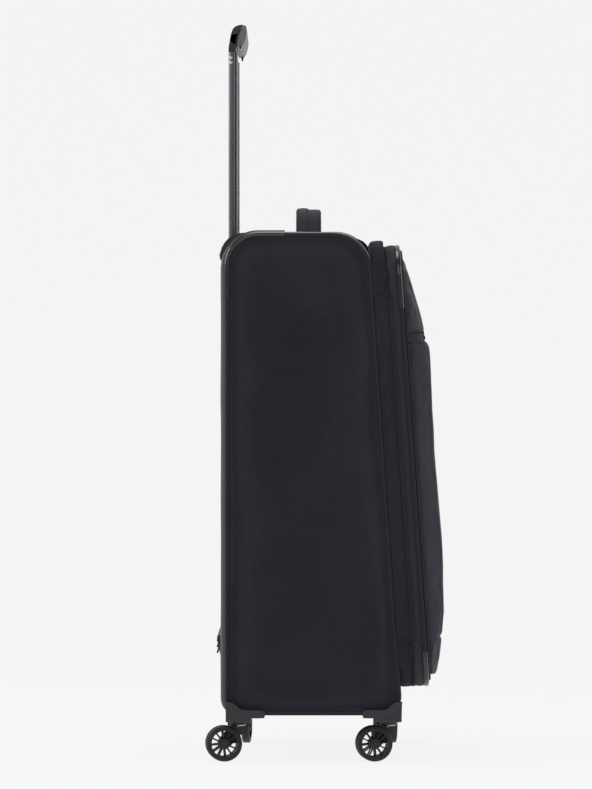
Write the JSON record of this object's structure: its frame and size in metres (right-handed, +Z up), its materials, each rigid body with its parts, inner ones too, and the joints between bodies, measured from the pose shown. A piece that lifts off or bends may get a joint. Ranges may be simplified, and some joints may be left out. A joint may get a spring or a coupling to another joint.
{
  "type": "softside upright suitcase",
  "caption": "Softside upright suitcase with a pull-out handle, a hinged zipped lid with pockets and swivelling twin-wheel casters.",
  "frame": {"origin": "on the floor, below the middle of the whole object's box", "axes": "+Z up, -Y out of the lid, lid hinged along the -X edge"},
  "size_m": [0.4736, 0.3318, 1.044],
  "materials": {
    "shell_fabric": "matte fine woven polyester",
    "pocket_fabric": "matte fine woven polyester",
    "piping_trim": "matte woven binding",
    "moulding": "fine textured moulding",
    "gloss_moulding": "polished moulding",
    "grip_moulding": "soft satin moulding",
    "tube_metal": "dark anodised",
    "steel": "dark nickel plated",
    "tyre": "soft polyurethane tread"
  },
  "bodies": {
    "root": {"back_panel": "pocket_fabric", "bottom_panel": "shell_fabric", "corner_guard_back_left": "moulding", "corner_guard_back_right": "moulding", "corner_guard_front_left": "moulding", "corner_guard_front_right": "moulding", "front_rim": "shell_fabric", "grab_handle": "pocket_fabric", "handle_bezel": "moulding", "lid_hinge_cloth": "shell_fabric", "outer_tube_left": "tube_metal", "outer_tube_right": "tube_metal", "rear_skid": "moulding", "side_panel_left": "shell_fabric", "side_panel_right": "shell_fabric", "side_piping_left": "piping_trim", "side_piping_right": "piping_trim", "top_panel": "pocket_fabric", "tube_foot_bracket": "steel"},
    "trolley": {"grip_shell": "gloss_moulding", "grip_cover": "grip_moulding", "inner_tube_left": "tube_metal", "inner_tube_right": "tube_metal"},
    "button": {"handle_button": "gloss_moulding", "push_rod_left": "steel", "push_rod_right": "steel"},
    "lock_pin_left": {"lock_pin_left": "steel"},
    "lock_pin_right": {"lock_pin_right": "steel"},
    "lid": {"lid_wall": "shell_fabric", "lid_panel": "pocket_fabric", "lower_pocket": "pocket_fabric", "upper_pocket": "pocket_fabric"},
    "main_zip_slider": {"main_zip_slider": "steel"},
    "main_zip_pull": {"main_zip_pull": "steel"},
    "pocket_zip_slider": {"pocket_zip_slider": "steel"},
    "pocket_zip_pull": {"pocket_zip_pull": "steel"},
    "caster_back_left": {"caster_fork_back_left": "moulding", "caster_axle_back_left": "steel"},
    "wheel_back_left_a": {"wheel_hub_back_left_a": "moulding", "wheel_tyre_back_left_a": "tyre"},
    "wheel_back_left_b": {"wheel_hub_back_left_b": "moulding", "wheel_tyre_back_left_b": "tyre"},
    "caster_front_left": {"caster_fork_front_left": "moulding", "caster_axle_front_left": "steel"},
    "wheel_front_left_a": {"wheel_hub_front_left_a": "moulding", "wheel_tyre_front_left_a": "tyre"},
    "wheel_front_left_b": {"wheel_hub_front_left_b": "moulding", "wheel_tyre_front_left_b": "tyre"},
    "caster_back_right": {"caster_fork_back_right": "moulding", "caster_axle_back_right": "steel"},
    "wheel_back_right_a": {"wheel_hub_back_right_a": "moulding", "wheel_tyre_back_right_a": "tyre"},
    "wheel_back_right_b": {"wheel_hub_back_right_b": "moulding", "wheel_tyre_back_right_b": "tyre"},
    "caster_front_right": {"caster_fork_front_right": "moulding", "caster_axle_front_right": "steel"},
    "wheel_front_right_a": {"wheel_hub_front_right_a": "moulding", "wheel_tyre_front_right_a": "tyre"},
    "wheel_front_right_b": {"wheel_hub_front_right_b": "moulding", "wheel_tyre_front_right_b": "tyre"}
  },
  "joints": [
    {"name": "handle_slide", "type": "slide", "parent": "root", "child": "trolley", "axis": [0, 0, 1], "range_m": [-0.252, 0]},
    {"name": "button_press", "type": "slide", "parent": "trolley", "child": "button", "axis": [0, 0, -1], "range_m": [0, 0.005], "stiffness_N_per_m": 600, "springref_m": -0.004},
    {"name": "lock_pin_left_slide", "type": "slide", "parent": "trolley", "child": "lock_pin_left", "axis": [1, 0, 0], "range_m": [0, 0.003]},
    {"name": "lock_pin_right_slide", "type": "slide", "parent": "trolley", "child": "lock_pin_right", "axis": [-1, 0, 0], "range_m": [0, 0.003]},
    {"name": "lid_hinge", "type": "hinge", "parent": "root", "child": "lid", "pos_m": [-0.2313, -0.10679, 0.41029], "axis": [0, -0.0671, -0.9977], "range_deg": [0, 165]},
    {"name": "main_zip_slide", "type": "slide", "parent": "root", "child": "main_zip_slider", "axis": [0, 0.0671, 0.9977], "range_m": [-0.4, 0.06]},
    {"name": "main_zip_pull_flip", "type": "hinge", "parent": "main_zip_slider", "child": "main_zip_pull", "pos_m": [0.2358, -0.09403, 0.59986], "axis": [0, -0.9977, 0.0671], "range_deg": [0, 160]},
    {"name": "pocket_zip_slide", "type": "slide", "parent": "lid", "child": "pocket_zip_slider", "axis": [1, 0, 0], "range_m": [-0.33, 0]},
    {"name": "pocket_zip_pull_flip", "type": "hinge", "parent": "pocket_zip_slider", "child": "pocket_zip_pull", "pos_m": [0.165, -0.14984, 0.5956], "axis": [-1, 0, 0], "range_deg": [0, 160]},
    {"name": "swivel_back_left", "type": "hinge", "parent": "root", "child": "caster_back_left", "pos_m": [-0.2, 0.11874, 0.05], "axis": [0, 0, 1], "continuous": true},
    {"name": "spin_back_left_a", "type": "hinge", "parent": "caster_back_left", "child": "wheel_back_left_a", "pos_m": [-0.21234, 0.13856, 0.025], "axis": [0.9945, 0.1045, 0], "continuous": true},
    {"name": "spin_back_left_b", "type": "hinge", "parent": "caster_back_left", "child": "wheel_back_left_b", "pos_m": [-0.19205, 0.14069, 0.025], "axis": [0.9945, 0.1045, 0], "continuous": true},
    {"name": "swivel_front_left", "type": "hinge", "parent": "root", "child": "caster_front_left", "pos_m": [-0.2, -0.09226, 0.05], "axis": [0, 0, 1], "continuous": true},
    {"name": "spin_front_left_a", "type": "hinge", "parent": "caster_front_left", "child": "wheel_front_left_a", "pos_m": [-0.21234, -0.07244, 0.025], "axis": [0.9945, 0.1045, 0], "continuous": true},
    {"name": "spin_front_left_b", "type": "hinge", "parent": "caster_front_left", "child": "wheel_front_left_b", "pos_m": [-0.19205, -0.07031, 0.025], "axis": [0.9945, 0.1045, 0], "continuous": true},
    {"name": "swivel_back_right", "type": "hinge", "parent": "root", "child": "caster_back_right", "pos_m": [0.2, 0.11874, 0.05], "axis": [0, 0, 1], "continuous": true},
    {"name": "spin_back_right_a", "type": "hinge", "parent": "caster_back_right", "child": "wheel_back_right_a", "pos_m": [0.17805, 0.11079, 0.025], "axis": [0.1045, 0.9945, 0], "continuous": true},
    {"name": "spin_back_right_b", "type": "hinge", "parent": "caster_back_right", "child": "wheel_back_right_b", "pos_m": [0.18018, 0.13108, 0.025], "axis": [0.1045, 0.9945, 0], "continuous": true},
    {"name": "swivel_front_right", "type": "hinge", "parent": "root", "child": "caster_front_right", "pos_m": [0.2, -0.09226, 0.05], "axis": [0, 0, 1], "continuous": true},
    {"name": "spin_front_right_a", "type": "hinge", "parent": "caster_front_right", "child": "wheel_front_right_a", "pos_m": [0.17997, -0.10425, 0.025], "axis": [-0.0872, 0.9962, 0], "continuous": true},
    {"name": "spin_front_right_b", "type": "hinge", "parent": "caster_front_right", "child": "wheel_front_right_b", "pos_m": [0.17819, -0.08393, 0.025], "axis": [-0.0872, 0.9962, 0], "continuous": true}
  ],
  "couplings": [
    {"joint": "lock_pin_left_slide", "follows": "button_press", "ratio": 0.6},
    {"joint": "lock_pin_right_slide", "follows": "button_press", "ratio": 0.6}
  ]
}
